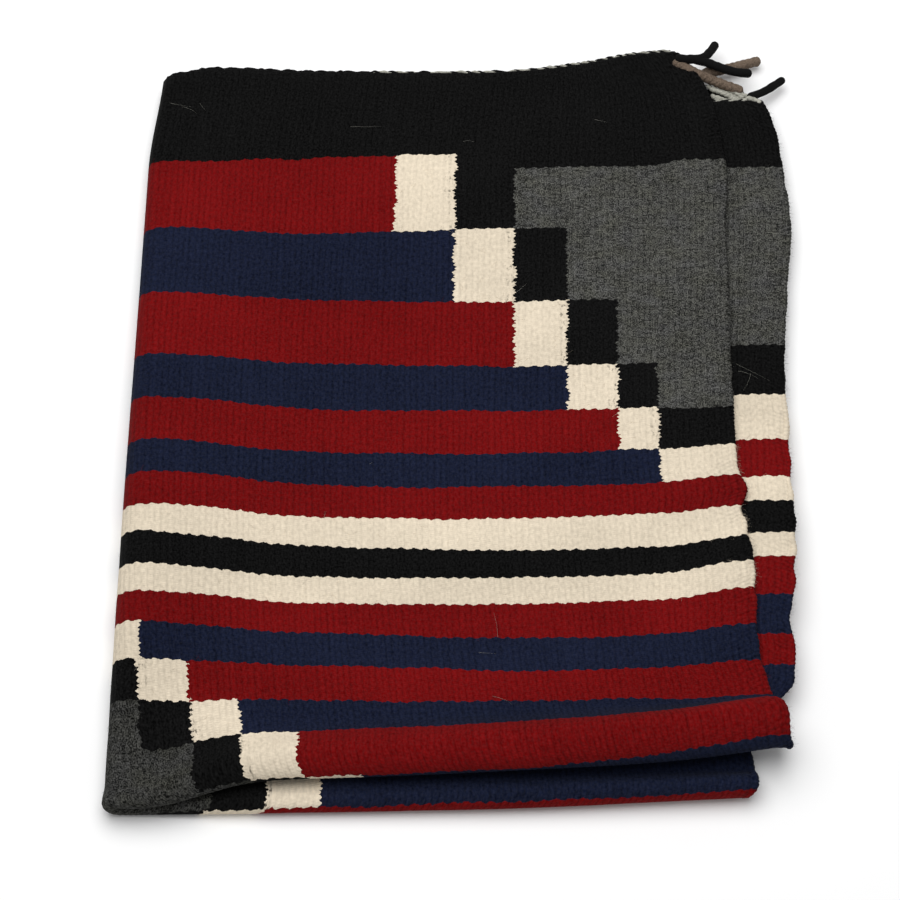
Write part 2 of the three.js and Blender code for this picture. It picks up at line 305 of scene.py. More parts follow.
# Rows of the pattern, from the length fold to each end: where a row starts on end one and on end two,
# its field wool, and how far white, black and grey steps reach from the middle or from the selvedge
RED, NAVY, CREAM, BLACK, GREY = range(5)
ROWS = (
    {"one": 0, "two": 0, "field": NAVY, "steps": (137, 106, 74)},
    {"one": 7, "two": 26, "field": RED, "steps": (106, 74, 46)},
    {"one": 34.3, "two": 40, "field": NAVY, "steps": (74, 46, 17)},
    {"one": 56, "two": 61.3, "field": RED, "steps": (46, 17, 0)},
    {"one": 77.4, "two": 80, "field": NAVY, "steps": (19, 0, 0)},
    {"one": 99.2, "two": 103.9, "field": RED, "steps": (0, 0, 0)},
    {"one": 118.3, "two": 128.8, "field": CREAM, "steps": (0, 0, 0)},
    {"one": 135.6, "two": 145.2, "field": BLACK, "steps": (0, 0, 0)},
    {"one": 156.6, "two": 168.5, "field": CREAM, "steps": (0, 0, 0)},
    {"one": 174.8, "two": 185, "field": RED, "steps": (0, 0, 0)},
    {"one": 196.1, "two": 211.8, "field": NAVY, "steps": (45, 0, 0)},
    {"one": 218.6, "two": 244.1, "field": RED, "steps": (69, 45, 0)},
    {"one": 247.6, "two": 279, "field": NAVY, "steps": (100, 69, 45)},
    {"one": 278.6, "two": 300, "field": RED, "steps": (133, 100, 69)},
    {"one": 323.4, "two": 332, "field": NAVY, "steps": (171, 133, 100)},
    {"one": 371.6, "two": 368, "field": RED, "steps": (209, 171, 133)},
    {"one": 425.6, "two": 409.2, "field": BLACK, "steps": (0, 0, 0)},
)
STEP_SCALE = 400.0
MIDDLE_A = 4.3
SELVEDGE_STEPS_FROM = 160.0

# Joins between rows that run out of true: place along the cloth, how far they shift, where across it the
# shift starts and over how much it grows, and how far along the cloth it fades
SLANTS = ({"at": 11.0, "shift": -7.0, "from": 220.0, "run": 150.0, "spread": 12.0},
          {"at": 7.0, "shift": 1.7, "from": -5.0, "run": -30.0, "spread": 8.0},
          {"at": 7.0, "shift": -2.4, "from": -100.0, "run": -230.0, "spread": 8.0},
          {"at": 55.0, "shift": 2.5, "from": 300.0, "run": 60.0, "spread": 8.0},
          {"at": 75.0, "shift": 3.0, "from": 190.0, "run": 70.0, "spread": 8.0},
          {"at": 96.0, "shift": 3.0, "from": 140.0, "run": 80.0, "spread": 8.0},
          {"at": 154.0, "shift": 4.0, "from": 0.0, "run": 380.0, "spread": 8.0},
          {"at": 247.0, "shift": 2.2, "from": 320.0, "run": 40.0, "spread": 10.0},
          {"at": 371.0, "shift": -5.0, "from": 110.0, "run": 140.0, "spread": 14.0},
          {"at": 424.0, "shift": 3.0, "from": 100.0, "run": -60.0, "spread": 14.0},
          {"at": 424.0, "shift": -3.0, "from": 105.0, "run": 25.0, "spread": 14.0},
          {"at": 424.0, "shift": -2.5, "from": 171.0, "run": 6.0, "spread": 14.0},
          {"at": 424.0, "shift": 11.0, "from": 216.0, "run": 20.0, "spread": 16.0},
          {"at": 424.0, "shift": -4.5, "from": 335.0, "run": 25.0, "spread": 14.0})

# Weft turns at the selvedges: pitch along the edge, slant across, how far in they show, and the ring of
# wool round the edge with its swell at each turn, its wobble, its lumps and its small nubs
TURN = {"pitch": 2.75, "slant": 0.42, "reach": 20.0, "inset": 0.9, "radius": 2.1, "swell": 0.2,
        "wobble": 0.7, "wobble_run": 3.1, "lump": 0.5, "lump_run": 7.5, "nub": 0.16, "nub_run": 2.2,
        "wrap": 1.5}

# Wools in sRGB, with how strongly they streak along the ribs, fleck, and take painted shade between the
# ribs
WOOLS = (
    {"colour": (106, 14, 15), "streak": 0.30, "fleck": 0.48, "painted_groove_shade": 0.30},
    {"colour": (23, 28, 46), "streak": 0.34, "fleck": 0.75, "painted_groove_shade": 0.32},
    {"colour": (213, 200, 179), "streak": 0.11, "fleck": 0.28, "painted_groove_shade": 0.11},
    {"colour": (15, 15, 15), "streak": 0.40, "fleck": 0.75, "painted_groove_shade": 0.32},
    {"colour": (68, 68, 65), "streak": 0.25, "fleck": 1.9, "painted_groove_shade": 0.42},
)
# Share of its colour that the grey keeps in the middle steps, partly as painted shade of the fold sloping
# away at the lower left
MIDDLE_GREY = 0.62

# Patches of the weave's unevenness, painted undulation shade and painted fibre sheen, millimetres across
# and along the cloth
PATCHES = {"drift": (20.0, 70.0), "uneven": (5.0, 4.0), "turns": (14.0, 9.0), "wander": (45.0, 30.0),
           "fray": (1.7, 1.3), "ragged": (30.0, 8.0), "stray": (1.5, 2.2), "stray_place": (8.0, 9.0),
           "streak": (3.0, 60.0), "wide_streak": (70.0, 50.0), "fleck": (1.8, 2.6), "grain": (0.8, 0.85),
           "undulation_shade": (90.0, 55.0), "yellow": (15.0, 11.0), "painted_fibre_sheen": (1.1, 1.4)}

# How far that unevenness moves ribs, picks and joins, in millimetres
SHIFT = {"rib": 3.0, "pick": 1.3, "wander": 3.2, "scallop": 0.42, "fray": 1.3, "tooth": 1.0, "spike": 1.9,
         "spike_width": 17.0, "ragged": 3.0, "side_fray": 1.5}

# Height of ribs, picks, selvedge turns and fuzz in the wool's bump, in millimetres
BUMP = {"rib": 0.24, "weft": 0.07, "turn": 0.22, "fray": 0.15}

# Shading: even level, painted undulation shade in broad patches, fall of the painted groove shade, flecks,
# heathered grain, dark strays, yellowing and painted fibre sheen
SHADE = {"even": 1.06, "undulation_shade": 0.3, "valley": 1.2, "fleck": 3.0, "fleck_luck": 0.5, "grain": 4.5,
         "grain_luck": 0.9, "luck_rate": 1.6, "least": 0.15, "stray": 0.8, "yellow": 0.25, "painted_fibre_sheen": 0.012}
STRAY_REACH = (8.5, 1.5)


def linear(colour):
    """Linear light of an sRGB colour given in 0 to 255."""
    c = np.asarray(colour, float) / 255.0
    return tuple(np.where(c <= 0.04045, c / 12.92, ((c + 0.055) / 1.055) ** 2.4).tolist())


# Materials

class Finish:
    """A material's node tree, with short ways to add nodes and join them."""

    def __init__(self, name):
        self.material = bpy.data.materials.new(name)
        self.material.use_nodes = True
        self.tree = self.material.node_tree
        self.tree.nodes.clear()
        self.out = self.add("ShaderNodeOutputMaterial")

    def add(self, kind, **settings):
        node = self.tree.nodes.new(kind)
        for key, value in settings.items():
            setattr(node, key, value)
        return node

    def put(self, socket, value):
        """Joins a socket to a node's output, or sets it to a plain value."""
        if isinstance(value, bpy.types.NodeSocket):
            self.tree.links.new(value, socket)
        else:
            socket.default_value = value

    def math(self, operation, *values):
        node = self.add("ShaderNodeMath", operation=operation)
        for socket, value in zip(node.inputs, values):
            self.put(socket, value)
        return node.outputs[0]

    def mix(self, share, first, second):
        node = self.add("ShaderNodeMix", data_type="FLOAT")
        self.put(node.inputs[0], share)
        self.put(node.inputs[2], first)
        self.put(node.inputs[3], second)
        return node.outputs[0]

    def scaled(self, colour, share):
        """A colour made lighter or darker by a number."""
        node = self.add("ShaderNodeVectorMath", operation="SCALE")
        self.put(node.inputs[0], colour)
        self.put(node.inputs["Scale"], share)
        return node.outputs[0]

    def yellowed(self, colour, share):
        """A colour with a share of its blue taken out."""
        node = self.add("ShaderNodeVectorMath", operation="MULTIPLY")
        keep = self.add("ShaderNodeCombineXYZ")
        keep.inputs[0].default_value = 1.0
        keep.inputs[1].default_value = 1.0
        self.put(keep.inputs[2], self.math("SUBTRACT", 1.0, share))
        self.put(node.inputs[0], colour)
        self.put(node.inputs[1], keep.outputs[0])
        return node.outputs[0]

    def lifted(self, colour, amount):
        """A colour with the same amount added to its three parts, kept above zero."""
        raised = self.add("ShaderNodeVectorMath", operation="ADD")
        self.put(raised.inputs[0], colour)
        self.put(raised.inputs[1], amount)
        kept = self.add("ShaderNodeVectorMath", operation="MAXIMUM")
        self.put(kept.inputs[0], raised.outputs[0])
        kept.inputs[1].default_value = (0.001, 0.001, 0.001)
        return kept.outputs[0]

    def noise(self, vector, scale, detail=2.0, dimensions="2D"):
        node = self.add("ShaderNodeTexNoise", noise_dimensions=dimensions)
        self.put(node.inputs["Vector"], vector)
        node.inputs["Scale"].default_value = scale
        node.inputs["Detail"].default_value = detail
        return self.math("SUBTRACT", node.outputs["Fac"], 0.5)

    def vector(self, x, y):
        node = self.add("ShaderNodeCombineXYZ")
        self.put(node.inputs[0], x)
        self.put(node.inputs[1], y)
        return node.outputs[0]

    def steps(self, value, stops):
        """A ramp of constant steps: stops are (place from 0 to 1, colour with alpha)."""
        node = self.add("ShaderNodeValToRGB")
        node.color_ramp.interpolation = "CONSTANT"
        elements = node.color_ramp.elements
        while len(elements) < len(stops):
            elements.new(1.0)
        for element, (place, colour) in zip(elements, stops):
            element.position = place
            element.color = colour
        self.put(node.inputs[0], value)
        return node

    def luck(self, x, y):
        """A number from -0.5 to 0.5 drawn anew for each whole x and y."""
        node = self.add("ShaderNodeTexWhiteNoise", noise_dimensions="2D")
        self.put(node.inputs["Vector"], self.vector(self.math("FLOOR", x), self.math("FLOOR", y)))
        return self.math("SUBTRACT", node.outputs["Value"], 0.5)

    def smooth(self, value, start, end):
        """0 before start, 1 after end, with a smooth step between."""
        node = self.add("ShaderNodeMapRange", interpolation_type="SMOOTHSTEP")
        self.put(node.inputs["Value"], value)
        node.inputs["From Min"].default_value = start
        node.inputs["From Max"].default_value = end
        return node.outputs["Result"]

    def hump(self, value, at, spread):
        """1 at a place, falling to 0 on both sides."""
        share = self.math("DIVIDE", self.math("SUBTRACT", value, at), spread)
        return self.math("EXPONENT", self.math("MULTIPLY", self.math("MULTIPLY", share, share), -1.0))

    def wool_shader(self, colour, height):
        """A rough wool with hardly any shine, its relief given in millimetres."""
        bump = self.add("ShaderNodeBump")
        bump.inputs["Strength"].default_value = 1.0
        bump.inputs["Distance"].default_value = MM
        self.put(bump.inputs["Height"], height)
        shader = self.add("ShaderNodeBsdfPrincipled")
        self.put(shader.inputs["Base Color"], colour)
        shader.inputs["Roughness"].default_value = 1.0
        shader.inputs["Specular IOR Level"].default_value = 0.04
        shader.inputs["Sheen Weight"].default_value = 0.015
        shader.inputs["Sheen Roughness"].default_value = 0.5
        self.put(shader.inputs["Normal"], bump.outputs[0])
        self.put(self.out.inputs["Surface"], shader.outputs[0])
        return self.material


def row_stops():
    """Ramp stops of the rows in order: step reaches in the colour, the field wool in the alpha."""
    stops = []
    for number, row in enumerate(ROWS):
        reach = tuple(step / STEP_SCALE for step in row["steps"])
        stops.append((number / len(ROWS), reach + (row["field"] / GREY,)))
    return stops


def woven_wool():
    """Weft-faced tapestry: rows and steps of colour by cloth coordinates, toothed by ribs and picks."""
    f = Finish("woven_wool")
    uv = f.add("ShaderNodeUVMap", uv_map="cloth_mm")
    place = f.add("ShaderNodeSeparateXYZ")
    f.put(place.inputs[0], uv.outputs[0])
    a, b = place.outputs[0], place.outputs[1]

    def patchy(name, detail=2.0):
        """Noise of the named patches, from -0.5 to 0.5."""
        across, along = PATCHES[name]
        return f.noise(f.vector(f.math("DIVIDE", a, across), f.math("DIVIDE", b, along)), 1.0, detail)

    # Ribs: a wave over two warps, so that its sign says which picks lie on top
    rib_place = f.math("MULTIPLY_ADD", patchy("drift"), SHIFT["rib"], f.math("ADD", a, HALF_WIDTH))
    rib_wave = f.math("SINE", f.math("MULTIPLY", rib_place, math.pi / WARP_PITCH))
    rib = f.math("ABSOLUTE", rib_wave)
    uneven = patchy("uneven")
    pick_place = f.math("MULTIPLY_ADD", uneven, SHIFT["pick"], b)
    pick = f.math("COSINE", f.math("MULTIPLY", pick_place, 2 * math.pi / PICK_PITCH))
    weft = f.math("MULTIPLY", pick, rib_wave)

    # Weft turns near the selvedges, slanted towards the edge and showing in patches
    from_selvedge = f.math("SUBTRACT", HALF_WIDTH, f.math("ABSOLUTE", a))
    near_selvedge = f.math("SUBTRACT", 1.0, f.smooth(from_selvedge, 1.0, TURN["reach"]))
    showing = f.math("MULTIPLY_ADD", patchy("turns"), 1.8, 0.6)
    near_selvedge = f.math("MAXIMUM", f.math("MULTIPLY", near_selvedge, showing), 0.0)
    turn_place = f.math("MULTIPLY_ADD", f.math("ABSOLUTE", a), -TURN["slant"], pick_place)
    turn = f.math("SINE", f.math("MULTIPLY", turn_place, 2 * math.pi / TURN["pitch"]))
    turn = f.math("MULTIPLY", turn, near_selvedge)

    # Hand-woven unevenness of the joins along rows: scallops, fray and slants
    fray = patchy("fray")
    along = f.math("MULTIPLY_ADD", rib_wave, SHIFT["scallop"], b)
    along = f.math("MULTIPLY_ADD", patchy("wander"), SHIFT["wander"], along)
    along = f.math("MULTIPLY_ADD", fray, SHIFT["fray"], along)
    for slant in SLANTS:
        share = f.smooth(a, slant["from"], slant["from"] + slant["run"])
        share = f.math("MULTIPLY", share, f.hump(b, slant["at"], slant["spread"]))
        along = f.math("MULTIPLY_ADD", share, slant["shift"], along)

    # And of the joins along steps: teeth of the picks, longer spikes and ragged runs
    tooth = f.math("SUBTRACT", f.math("PINGPONG", pick_place, PICK_PITCH), PICK_PITCH / 2)
    two_picks = f.math("DIVIDE", pick_place, 2 * PICK_PITCH)
    spike = f.luck(two_picks, f.math("DIVIDE", a, SHIFT["spike_width"]))
    sideways = f.math("MULTIPLY_ADD", spike, SHIFT["spike"], a)
    sideways = f.math("MULTIPLY_ADD", tooth, SHIFT["tooth"], sideways)
    sideways = f.math("MULTIPLY_ADD", fray, SHIFT["side_fray"], sideways)
    sideways = f.math("MULTIPLY_ADD", patchy("ragged"), SHIFT["ragged"], sideways)

    # Which row, and how far the steps reach in it
    row = 0.5
    for start in ROWS[1:]:
        past_one = f.math("GREATER_THAN", along, start["one"])
        row = f.math("ADD", row, f.math("ADD", past_one, f.math("LESS_THAN", along, -start["two"])))
    chart = f.steps(f.math("DIVIDE", row, len(ROWS)), row_stops())
    reaches = f.add("ShaderNodeSeparateColor")
    f.put(reaches.inputs[0], chart.outputs["Color"])
    cream_reach, black_reach, grey_reach = reaches.outputs[:3]
    from_middle = f.math("ABSOLUTE", f.math("SUBTRACT", sideways, MIDDLE_A))
    from_edge = f.math("MAXIMUM", f.math("SUBTRACT", HALF_WIDTH, f.math("ABSOLUTE", sideways)), 0.0)
    by_edge = f.math("GREATER_THAN", f.math("ABSOLUTE", along), SELVEDGE_STEPS_FROM)
    distance = f.math("DIVIDE", f.mix(by_edge, from_middle, from_edge), STEP_SCALE)
    wool = f.math("MULTIPLY", chart.outputs["Alpha"], float(GREY))
    for reach, step_wool in ((cream_reach, CREAM), (black_reach, BLACK), (grey_reach, GREY)):
        wool = f.mix(f.math("LESS_THAN", distance, reach), wool, float(step_wool))

    # Dark fibres strayed into the cream beside a black step
    is_cream = f.math("COMPARE", wool, float(CREAM), 0.1)
    has_black = f.math("GREATER_THAN", black_reach, 0.0)
    past_black = f.math("MULTIPLY", f.math("SUBTRACT", distance, black_reach), STEP_SCALE)
    tufts = f.smooth(f.math("MULTIPLY_ADD", rib, -0.12, patchy("stray")), -0.08, 0.12)
    stray = f.math("MULTIPLY", f.math("MULTIPLY", is_cream, has_black), tufts)
    stray = f.math("MULTIPLY", stray, f.smooth(past_black, *STRAY_REACH))
    stray = f.math("MULTIPLY", stray, f.smooth(patchy("stray_place"), -0.12, 0.2))

    # The wool's own colour and traits
    choice = f.math("DIVIDE", f.math("ADD", wool, 0.5), len(WOOLS))
    starts = [number / len(WOOLS) for number in range(len(WOOLS))]
    colours = [linear(kind["colour"]) + (1.0,) for kind in WOOLS]
    traits = [(kind["streak"], kind["fleck"] / 2, kind["painted_groove_shade"], 1.0) for kind in WOOLS]
    colour = f.steps(choice, list(zip(starts, colours))).outputs["Color"]
    trait = f.add("ShaderNodeSeparateColor")
    f.put(trait.inputs[0], f.steps(choice, list(zip(starts, traits))).outputs["Color"])
    streaked, flecked, groove_shade_strength = trait.outputs[:3]

    # How it varies: streaks along the ribs, flecks or a heathered grain, painted shade in grooves and turn
    # gaps
    streak = f.math("ADD", patchy("streak"), patchy("wide_streak"))
    tuft_across = f.math("MULTIPLY", rib_place, SHADE["luck_rate"] / WARP_PITCH)
    crossing = f.luck(tuft_across, f.math("DIVIDE", pick_place, PICK_PITCH))
    fleck_luck = f.math("MULTIPLY", crossing, SHADE["fleck_luck"])
    grain_luck = f.math("MULTIPLY", crossing, SHADE["grain_luck"])
    fleck = f.math("MULTIPLY_ADD", patchy("fleck"), SHADE["fleck"], fleck_luck)
    grain = f.math("MULTIPLY_ADD", patchy("grain", 1.0), SHADE["grain"], grain_luck)
    is_grey = f.math("GREATER_THAN", wool, GREY - 0.5)
    fleck = f.mix(is_grey, fleck, grain)
    # Painted shade: darker in the valleys between ribs and in the troughs between the selvedge turns
    valley = f.math("POWER", f.math("SUBTRACT", 1.0, rib), SHADE["valley"])
    painted_groove_shade = f.math("MULTIPLY", groove_shade_strength, f.math("MULTIPLY", valley, f.math("ADD", 0.8, uneven)))
    turn_gap_shade = f.math("MULTIPLY", f.math("MINIMUM", turn, 0.0), groove_shade_strength)
    # Broad patches of painted shade, standing for soft undulations of the cloth
    shade = f.math("MULTIPLY_ADD", patchy("undulation_shade"), SHADE["undulation_shade"], SHADE["even"])
    shade = f.math("SUBTRACT", f.math("ADD", shade, turn_gap_shade), painted_groove_shade)
    shade = f.math("MULTIPLY_ADD", streak, streaked, shade)
    shade = f.math("MAXIMUM", f.math("MULTIPLY_ADD", fleck, flecked, shade), SHADE["least"])
    shade = f.math("MULTIPLY", shade, f.math("MULTIPLY_ADD", stray, -SHADE["stray"], 1.0))
    # Grey of the middle steps darkened, partly as painted shade of the sloping lower-left fold
    middle_grey = f.math("MULTIPLY", is_grey, f.math("SUBTRACT", 1.0, by_edge))
    shade = f.math("MULTIPLY", shade, f.math("MULTIPLY_ADD", middle_grey, MIDDLE_GREY - 1.0, 1.0))
    # Fine flecks of painted fibre sheen: an even grey, lighter and darker by turns, added to the colour
    painted_fibre_sheen = f.math("MULTIPLY", patchy("painted_fibre_sheen", 1.0), SHADE["painted_fibre_sheen"])
    yellow = f.math("MULTIPLY", f.math("MULTIPLY", patchy("yellow"), is_grey), SHADE["yellow"])
    colour = f.yellowed(f.lifted(f.scaled(colour, shade), painted_fibre_sheen), yellow)

    # Relief: ribs and picks, flatter where the selvedge turns show
    height = f.math("MULTIPLY_ADD", rib, BUMP["rib"], f.math("MULTIPLY", weft, BUMP["weft"]))
    flatter = f.math("MULTIPLY_ADD", near_selvedge, -0.7, 1.0)
    height = f.math("MULTIPLY_ADD", height, flatter, f.math("MULTIPLY", turn, BUMP["turn"]))
    height = f.math("MULTIPLY_ADD", fray, BUMP["fray"], height)
    return f.wool_shader(colour, height)


def cord_wool(name, colour, fleck, relief):
    """Plied cord: one wool colour, flecked and felted by noise in the part's own space."""
    f = Finish(name)
    place = f.add("ShaderNodeTexCoord").outputs["Object"]
    fibres = f.noise(place, 1100.0, 3.0, "3D")
    patches = f.noise(place, 240.0, 2.0, "3D")
    shade = f.math("MULTIPLY_ADD", fibres, 2.0 * fleck, f.math("MULTIPLY_ADD", patches, fleck, 1.0))
    colour = f.scaled(linear(colour), f.math("MAXIMUM", shade, 0.2))
    return f.wool_shader(colour, f.math("MULTIPLY", fibres, relief))


# Pieces

# Rib relief of the rug's mesh, its rows near and beside the hairpins, their number on to each end, and the
# half warps past the width fold that show
RELIEF = 0.15
CLOSE_ROWS = {"from": -21.0, "to": 43.0, "step": 1.75}
BESIDE_ROWS = {"from": -45.0, "to": 65.0, "step": 4.0}
FAR_ROWS = {"one": 48, "two": 46}
SHOWING_PAST_FOLD = 24


def row_places():
    """Places of the mesh's rows along the cloth: close in the hairpins, wider out to the ends."""
    before = np.arange(BESIDE_ROWS["from"], CLOSE_ROWS["from"], BESIDE_ROWS["step"])
    close = np.arange(CLOSE_ROWS["from"], CLOSE_ROWS["to"], CLOSE_ROWS["step"])
    after = np.arange(CLOSE_ROWS["to"], BESIDE_ROWS["to"], BESIDE_ROWS["step"])
    far_one = np.linspace(BESIDE_ROWS["to"], LENGTH_ONE - THICK / 2, FAR_ROWS["one"])
    far_two = np.linspace(-BESIDE_ROWS["from"], LENGTH_TWO - THICK / 2, FAR_ROWS["two"])
    return np.concatenate([[-LENGTH_TWO], -far_two[:0:-1], before, close, after, far_one, [LENGTH_ONE]])


def column_places():
    """Places of the mesh's columns, two to a warp where it shows, one below; and which are valleys."""
    k = np.arange(2 * WARPS + 1)
    k = k[(k % 2 == 0) | (k > WARPS - SHOWING_PAST_FOLD)]
    return -HALF_WIDTH + k * WARP_PITCH / 2, (k % 2 == 0) & (k > WARPS - SHOWING_PAST_FOLD)


def rug_cloth():
    """Both faces of the cloth, half a thickness off its middle surface, closed along the edges.

    Columns fall on the crest and in the valley of each warp rib, so the ribs stand in the mesh too.
    """
    b = row_places()
    a, valley = column_places()
    off = np.full((len(b), len(a)), THICK / 2)
    off[:, valley] -= RELIEF
    off[[0, -1], :] = 0.0
    off[:, [0, -1]] = 0.0
    edge = off == 0.0

    count = off.size
    top = cloth_place(a[None, :], b[:, None], off).reshape(-1, 3)
    under = cloth_place(a[None, :], b[:, None], -off).reshape(-1, 3)
    inside = ~edge.ravel()
    number = np.arange(count)
    under_number = np.where(inside, 0, number)
    under_number[inside] = count + np.arange(inside.sum())
    quads = grid_quads(*off.shape)
    points = np.concatenate([top, under[inside]])
    flat = np.stack(np.broadcast_arrays(a[None, :], b[:, None]), axis=-1).reshape(-1, 2)
    uv = np.concatenate([flat, flat[inside]])
    return piece("rug", points, np.concatenate([quads, under_number[quads[:, ::-1]]]), cloth_uv=uv)


def smooth_noise(x, seed):
    """A smooth random wave of x from -1 to 1: cosine steps between random values at whole numbers."""
    values = np.random.default_rng(seed).uniform(-1.0, 1.0, 4096)
    start = np.floor(x).astype(int)
    share = 0.5 - 0.5 * np.cos(np.pi * (x - start))
    return values[start % 4096] * (1.0 - share) + values[(start + 1) % 4096] * share


def selvedge_turns(sides=10, step=0.6):
    """Weft turns round both selvedges: a ring of points carried along each edge of the cloth.

    The ring's radius swells once for each turn, slanted round the edge, and wavers along it.
    """
    b = np.arange(-LENGTH_TWO + 1.0, LENGTH_ONE - 1.0, step)
    angle = np.linspace(0.0, 2 * np.pi, sides, endpoint=False)
    points = []
    quads = []
    uv = []
    for number, edge in enumerate((-1.0, 1.0)):
        a = np.full_like(b, edge * (HALF_WIDTH - TURN["inset"]))
        out, _, normal = cloth_axes(a, b)
        wobble = TURN["wobble"] * smooth_noise(b / TURN["wobble_run"], 40 + number)
        turn = np.sin(2 * np.pi * b[:, None] / TURN["pitch"] + edge * angle + wobble[:, None])
        lump = TURN["lump"] * smooth_noise(b / TURN["lump_run"], 50 + number)
        lump = lump + TURN["nub"] * smooth_noise(b / TURN["nub_run"], 60 + number)
        radius = TURN["radius"] + TURN["swell"] * turn + lump[:, None]
        outward = np.cos(angle)[:, None] * (edge * out)[:, None, :]
        ring = outward + np.sin(angle)[:, None] * normal[:, None, :]
        middle = cloth_middle(a, b)[:, None, :]
        points.append(((middle + radius[..., None] * ring) * MM + ORIGIN).reshape(-1, 3))
        quads.append(ring_quads(len(b), sides) + number * len(b) * sides)
        across = edge * (HALF_WIDTH - TURN["inset"] + TURN["wrap"] * np.cos(angle))
        uv.append(np.stack(np.broadcast_arrays(across[None, :], b[:, None]), axis=-1).reshape(-1, 2))
    points, quads, uv = (np.concatenate(blocks) for blocks in (points, quads, uv))
    return piece("selvedge_turns", points, quads, cloth_uv=uv)


def swept(path, side, lift, radius, sides):
    """Rings of points round a path: cosine along side plus sine along lift, times the radius."""
    angle = np.linspace(0.0, 2 * np.pi, sides, endpoint=False)
    ring = np.cos(angle)[:, None] * side[:, None, :] + np.sin(angle)[:, None] * lift[:, None, :]
    return (path[:, None, :] + np.asarray(radius)[:, None, None] * ring).reshape(-1, 3)


def joined(name, parts, sides, cloth_uv=None):
    """One piece from several swept tubes, each a block of rings."""
    starts = np.cumsum([0] + [len(part) for part in parts[:-1]])
    quads = [ring_quads(len(part) // sides, sides) + start for part, start in zip(parts, starts)]
    points = np.concatenate(parts) * MM + ORIGIN
    return piece(name, points, np.concatenate(quads), cloth_uv=cloth_uv)


# Twined end cords: twist pitch and how it wavers, how far a ply lies from the end's middle, its radius,
# how far each way the cord runs, and where its second ply turns from dark to pale on the top end
END_CORD = {"step": 0.9, "sides": 6, "pitch": 10.0, "waver": 2.2, "waver_run": 14.0,
            "reach": 0.45, "reach_change": 0.3, "reach_run": 5.0,
            "radius": 0.8, "radius_change": 0.4, "radius_run": 6.0, "tip": 0.05,
            "half": 380.0, "pale_from": 150.0}


def end_ply(ply, end, from_a=-END_CORD["half"], to_a=END_CORD["half"]):
    """One ply of an end cord: a helix round the cloth's end, stepping out along it."""
    a = np.arange(from_a, to_a, END_CORD["step"])
    b = np.full_like(a, LENGTH_ONE if end > 0 else -LENGTH_TWO)
    _, out, normal = cloth_axes(a, b)
    out = out * end
    waver = END_CORD["waver"] * smooth_noise(a / END_CORD["waver_run"], 70 + ply)
    angle = 2 * np.pi * a / END_CORD["pitch"] + ply * np.pi + waver
    change = smooth_noise(a / END_CORD["reach_run"], 80 + ply)
    reach = END_CORD["reach"] + END_CORD["reach_change"] * change
    helix = np.cos(angle)[:, None] * out + np.sin(angle)[:, None] * normal
    change = smooth_noise(a / END_CORD["radius_run"], 90 + ply)
    radius = END_CORD["radius"] + END_CORD["radius_change"] * change
    radius[[0, -1]] = END_CORD["tip"]
    return swept(cloth_middle(a, b) + reach[:, None] * helix, out, normal, radius, END_CORD["sides"])


def curve_through(places, count):
    """A smooth path through places: Catmull-Rom segments sampled evenly in parameter."""
    p = np.asarray(places, float)
    p = np.concatenate([[2 * p[0] - p[1]], p, [2 * p[-1] - p[-2]]])
    t = np.linspace(0.0, len(places) - 1.0, count)
    i = np.minimum(t.astype(int), len(places) - 2)
    s = (t - i)[:, None]
    p0, p1, p2, p3 = p[i], p[i + 1], p[i + 2], p[i + 3]
    return 0.5 * (2 * p1 + (p2 - p0) * s + (2 * p0 - 5 * p1 + 4 * p2 - p3) * s ** 2
                  + (3 * p1 - p0 - 3 * p2 + p3) * s ** 3)


# Corner tassels and loose ends: cord radius, plies, twist pitch, first seed, and where each strand passes,
# in the fold's own millimetres
BLACK_UPPER = {"radius": 2.9, "plies": 1, "twist": 6.0, "seed": 100, "routes": (
    ((147.0, 282.0, 21.0), (156.0, 281.5, 20.5), (165.0, 283.5, 18.5), (171.0, 291.0, 15.5),
     (175.5, 300.0, 12.0)),
    ((158.0, 282.0, 20.0), (168.0, 280.5, 18.0), (177.0, 278.0, 16.0), (187.0, 275.5, 14.5),
     (198.0, 275.5, 12.5)))}
BROWN_UPPER = {"radius": 3.3, "plies": 3, "twist": 11.0, "seed": 140, "routes": (
    ((145.5, 281.0, 18.5), (157.0, 275.5, 16.5), (167.0, 272.0, 13.5), (178.0, 268.0, 11.5),
     (192.0, 263.5, 9.5)),
    ((165.0, 277.0, 10.5), (178.0, 281.5, 8.0), (192.0, 286.0, 7.0), (205.0, 290.0, 7.0)))}
BLACK_LOWER = {"radius": 2.7, "plies": 1, "twist": 6.0, "seed": 180, "routes": (
    ((194.0, 257.5, 11.0), (200.0, 260.0, 11.0), (207.0, 264.0, 10.3), (219.5, 274.5, 8.0)),)}
LOOSE_ENDS = {"radius": 1.6, "plies": 2, "twist": 6.0, "seed": 300, "routes": (
    ((168.0, 268.5, 8.5), (176.0, 265.0, 8.5), (186.0, 260.5, 8.0), (195.0, 256.0, 8.5)),
    ((171.0, 262.0, 8.0), (175.0, 257.0, 9.5), (183.0, 256.5, 9.0), (190.0, 259.0, 8.0)),
    ((176.0, 268.0, 7.5), (184.0, 264.5, 7.5), (193.0, 262.0, 7.5)),
    ((193.0, 256.5, 12.5), (198.0, 254.5, 13.5), (203.0, 252.0, 13.0)),
    ((170.0, 265.5, 9.5), (177.0, 262.5, 10.0), (184.0, 259.0, 9.0), (189.0, 255.5, 9.0)),
    ((180.0, 266.5, 9.0), (187.0, 262.5, 9.5), (192.0, 258.0, 9.0)),
    ((173.0, 259.5, 9.5), (178.0, 256.5, 10.5), (184.0, 254.5, 10.0)),
    ((186.0, 264.0, 9.0), (193.0, 260.5, 9.0), (199.0, 258.5, 9.0)))}

# A strand's rings, and the share of a cord's radius that each of several plies has and lies off its middle
STRAND = {"sides": 10, "rings": 60, "ply": 0.84, "off": 0.17, "uneven": 0.07, "uneven_run": 2.6,
          "tip": 0.02}


